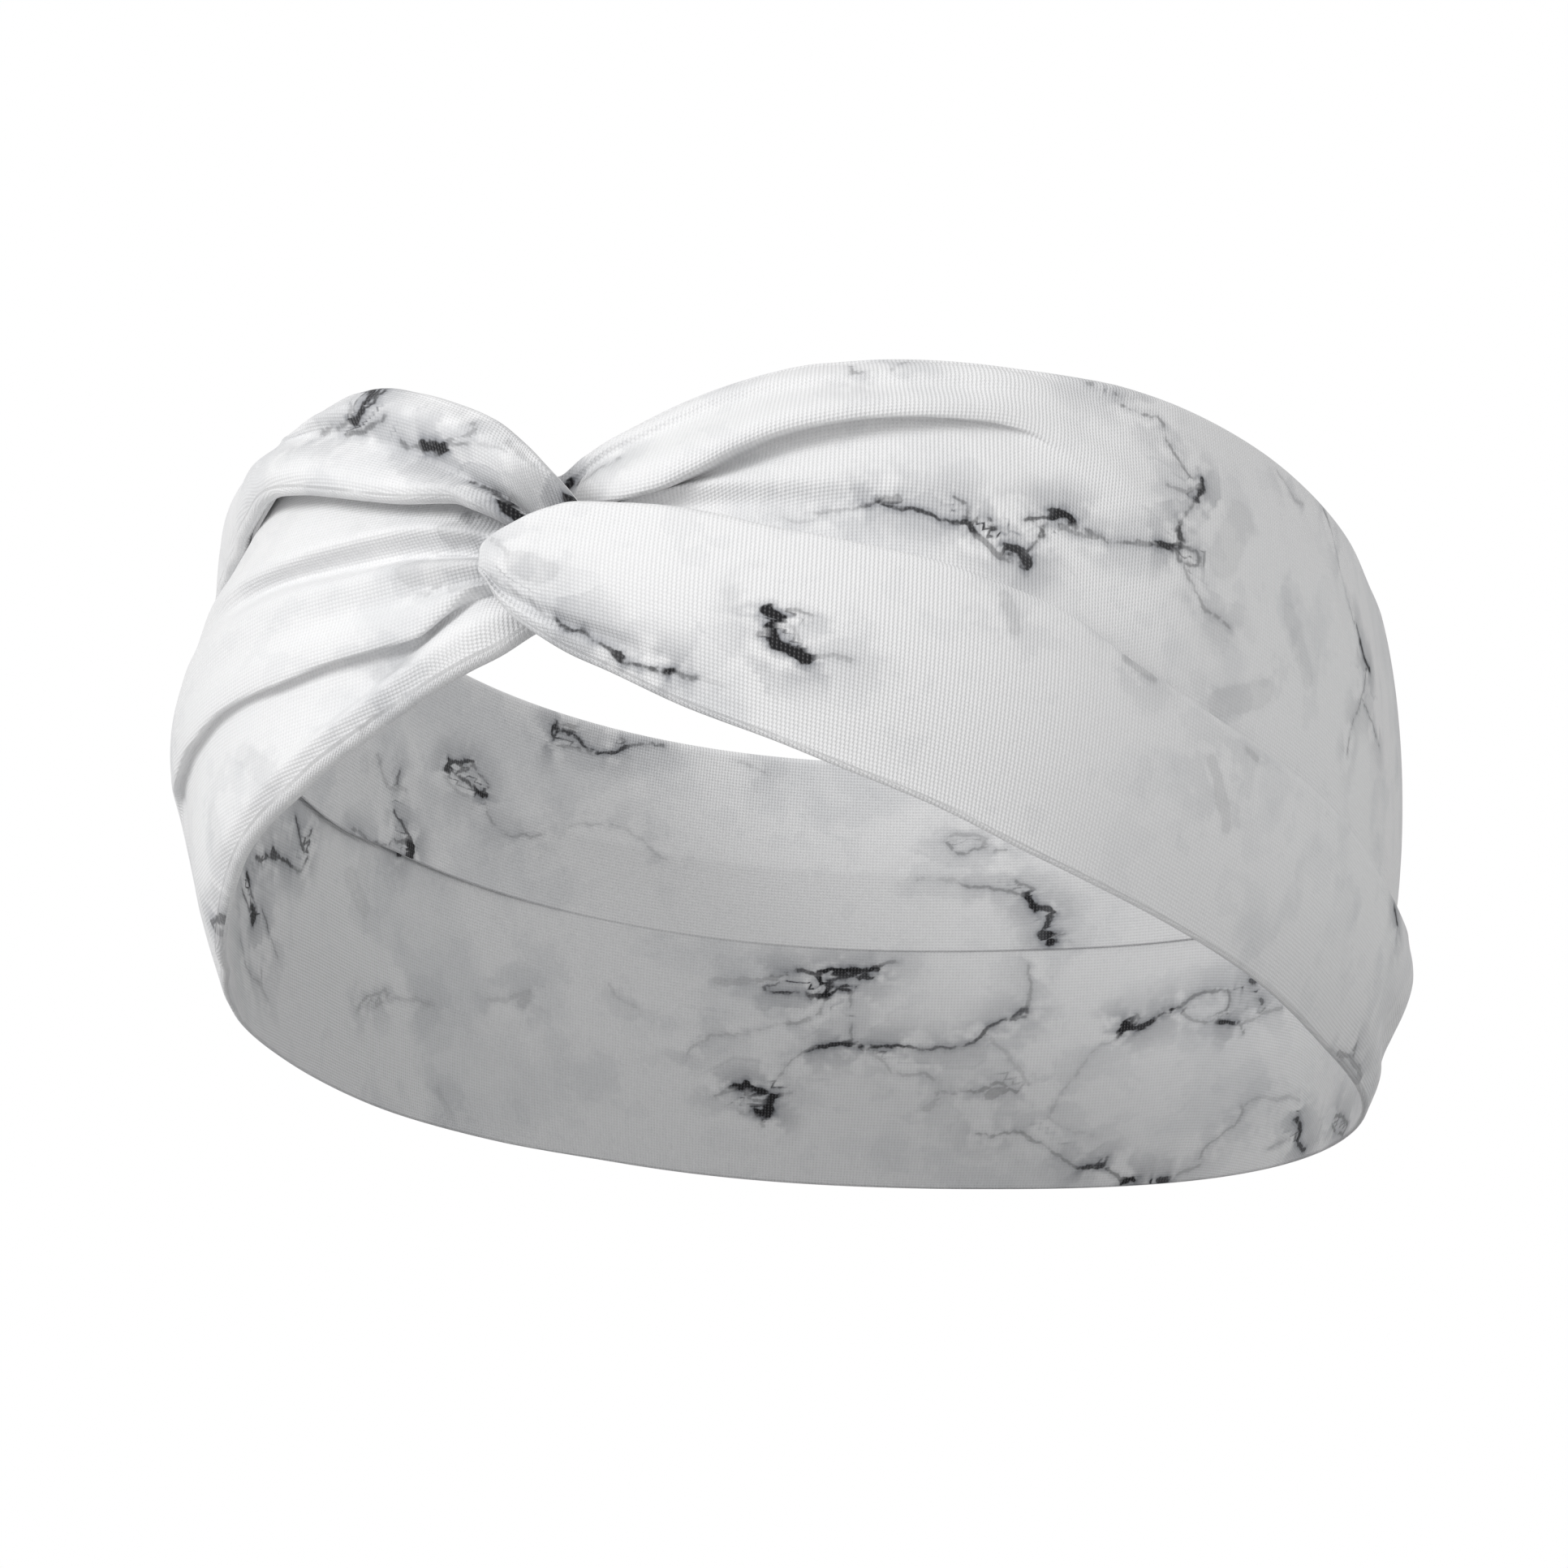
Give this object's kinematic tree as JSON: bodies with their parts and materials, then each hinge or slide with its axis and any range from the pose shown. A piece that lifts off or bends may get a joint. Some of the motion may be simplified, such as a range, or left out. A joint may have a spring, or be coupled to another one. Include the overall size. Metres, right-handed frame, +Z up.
{
  "type": "spa headband",
  "caption": "Wide twist-front jersey headband: two bagged-out strips run round the head and hook through each other in a gathered front knot.",
  "frame": {"origin": "middle of the band's footprint, on the plane of its lower rim", "axes": "+Z up along the head's axis, -Y towards the brow and the knot, +X towards the viewer's right when the knot is faced"},
  "size_m": [0.153, 0.2002, 0.0675],
  "materials": {
    "printed_jersey": "matte printed single jersey, white with grey marble veins",
    "lining_jersey": "matte printed single jersey, the same print as the outside",
    "seam_allowance": "cut and overlocked jersey edge, hidden inside the strip"
  },
  "bodies": {
    "root": {"upper_outer_panel": "printed_jersey", "upper_lining_panel": "lining_jersey", "upper_top_seam_allowance": "seam_allowance", "upper_bottom_seam_allowance": "seam_allowance", "lower_outer_panel": "printed_jersey", "lower_lining_panel": "lining_jersey", "lower_top_seam_allowance": "seam_allowance", "lower_bottom_seam_allowance": "seam_allowance", "right_knot_wrap": "printed_jersey", "left_knot_wrap": "printed_jersey"}
  },
  "joints": []
}
